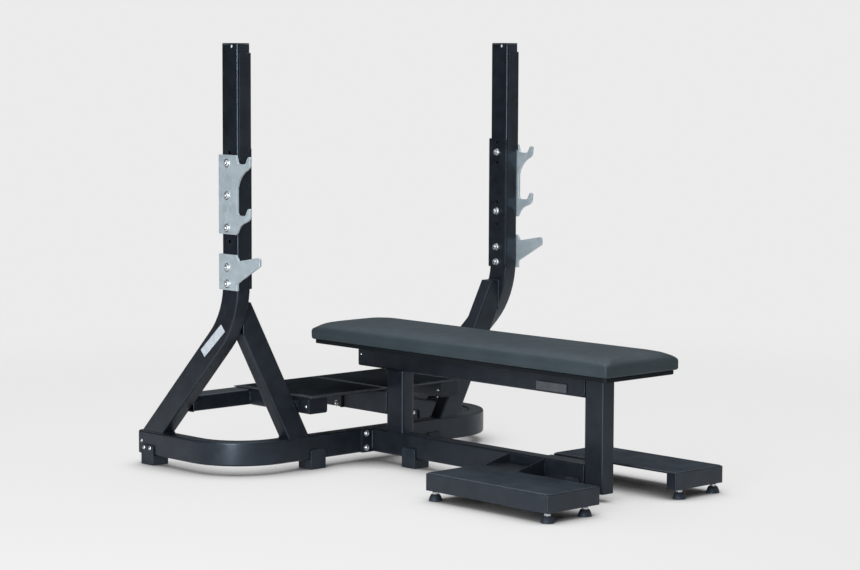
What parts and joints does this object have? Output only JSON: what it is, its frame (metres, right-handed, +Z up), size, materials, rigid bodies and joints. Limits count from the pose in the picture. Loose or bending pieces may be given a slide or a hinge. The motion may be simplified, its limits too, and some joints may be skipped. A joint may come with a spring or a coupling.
{
  "type": "olympic bench press",
  "caption": "Flat bench press: padded bench between two bent uprights with bar hooks and low catches, a raised spotter's deck behind and foot plates on levelling feet in front.",
  "frame": {"origin": "middle of the footprint's box, on the floor", "axes": "+Z up; +Y towards the lifter's head and the spotter's deck; +X to the right of somebody facing along +Y"},
  "size_m": [1.2106, 1.61, 1.334],
  "materials": {
    "frame_paint": "satin anthracite powder coat",
    "zinc_plate": "bright zinc plated steel, faint blue",
    "black_plastic": "moulded black plastic",
    "guard_plastic": "black plastic with a fine cast texture",
    "foot_rubber": "matte black rubber",
    "mat_rubber": "dark grey rubber sheet with a fine anti-slip grain",
    "vinyl": "dark blue-grey vinyl with a fine leather grain",
    "board_paint": "black stained plywood",
    "label_grey": "blank satin grey plate"
  },
  "bodies": {
    "frame": {"upright_right": "frame_paint", "upright_left": "frame_paint", "upright_cap_right": "black_plastic", "upright_cap_left": "black_plastic", "hook_plate_right": "zinc_plate", "hook_plate_left": "zinc_plate", "catch_plate_right": "zinc_plate", "catch_plate_left": "zinc_plate", "backing_plate_right": "frame_paint", "backing_plate_left": "frame_paint", "upright_guard_right": "guard_plastic", "upright_guard_left": "guard_plastic", "rail_cap_right": "black_plastic", "rail_cap_left": "black_plastic", "brace_right": "frame_paint", "brace_left": "frame_paint", "rail_foot_right": "foot_rubber", "rail_foot_left": "foot_rubber", "cross_foot_right": "foot_rubber", "cross_foot_left": "foot_rubber", "deck_side_tube_right": "frame_paint", "deck_side_tube_left": "frame_paint", "deck_tube_cap_right": "black_plastic", "deck_tube_cap_left": "black_plastic", "deck_bracket_right": "frame_paint", "deck_bracket_left": "frame_paint", "deck_mat_right": "mat_rubber", "deck_mat_left": "mat_rubber", "foot_plate_right": "frame_paint", "foot_plate_left": "frame_paint", "foot_plate_mat_right": "mat_rubber", "foot_plate_mat_left": "mat_rubber", "foot_plate_bracket_right": "frame_paint", "foot_plate_bracket_left": "frame_paint", "base_tube": "frame_paint", "main_beam": "frame_paint", "beam_end_plate": "frame_paint", "rear_leg": "frame_paint", "front_leg": "frame_paint", "seat_beam": "frame_paint", "front_leg_cap": "black_plastic", "seat_beam_cap": "black_plastic", "beam_foot_middle": "foot_rubber", "beam_foot_front": "foot_rubber", "pad_board": "board_paint", "bench_pad": "vinyl", "label_plate": "label_grey", "deck_rear_tube": "frame_paint", "deck_strut_front": "frame_paint", "deck_strut_rear": "frame_paint", "deck_strut_joint": "frame_paint", "deck_plate": "frame_paint"},
    "levelling_foot_right_front_inner": {"levelling_foot_right_front_inner": "foot_rubber"},
    "levelling_foot_right_front_outer": {"levelling_foot_right_front_outer": "foot_rubber"},
    "levelling_foot_right_rear_inner": {"levelling_foot_right_rear_inner": "foot_rubber"},
    "levelling_foot_right_rear_outer": {"levelling_foot_right_rear_outer": "foot_rubber"},
    "levelling_foot_left_front_inner": {"levelling_foot_left_front_inner": "foot_rubber"},
    "levelling_foot_left_front_outer": {"levelling_foot_left_front_outer": "foot_rubber"},
    "levelling_foot_left_rear_inner": {"levelling_foot_left_rear_inner": "foot_rubber"},
    "levelling_foot_left_rear_outer": {"levelling_foot_left_rear_outer": "foot_rubber"}
  },
  "joints": [
    {"name": "levelling_slide_right_front_inner", "type": "slide", "parent": "frame", "child": "levelling_foot_right_front_inner", "axis": [0, 0, -1], "range_m": [0, 0.01]},
    {"name": "levelling_slide_right_front_outer", "type": "slide", "parent": "frame", "child": "levelling_foot_right_front_outer", "axis": [0, 0, -1], "range_m": [0, 0.01]},
    {"name": "levelling_slide_right_rear_inner", "type": "slide", "parent": "frame", "child": "levelling_foot_right_rear_inner", "axis": [0, 0, -1], "range_m": [0, 0.01]},
    {"name": "levelling_slide_right_rear_outer", "type": "slide", "parent": "frame", "child": "levelling_foot_right_rear_outer", "axis": [0, 0, -1], "range_m": [0, 0.01]},
    {"name": "levelling_slide_left_front_inner", "type": "slide", "parent": "frame", "child": "levelling_foot_left_front_inner", "axis": [0, 0, -1], "range_m": [0, 0.01]},
    {"name": "levelling_slide_left_front_outer", "type": "slide", "parent": "frame", "child": "levelling_foot_left_front_outer", "axis": [0, 0, -1], "range_m": [0, 0.01]},
    {"name": "levelling_slide_left_rear_inner", "type": "slide", "parent": "frame", "child": "levelling_foot_left_rear_inner", "axis": [0, 0, -1], "range_m": [0, 0.01]},
    {"name": "levelling_slide_left_rear_outer", "type": "slide", "parent": "frame", "child": "levelling_foot_left_rear_outer", "axis": [0, 0, -1], "range_m": [0, 0.01]}
  ]
}
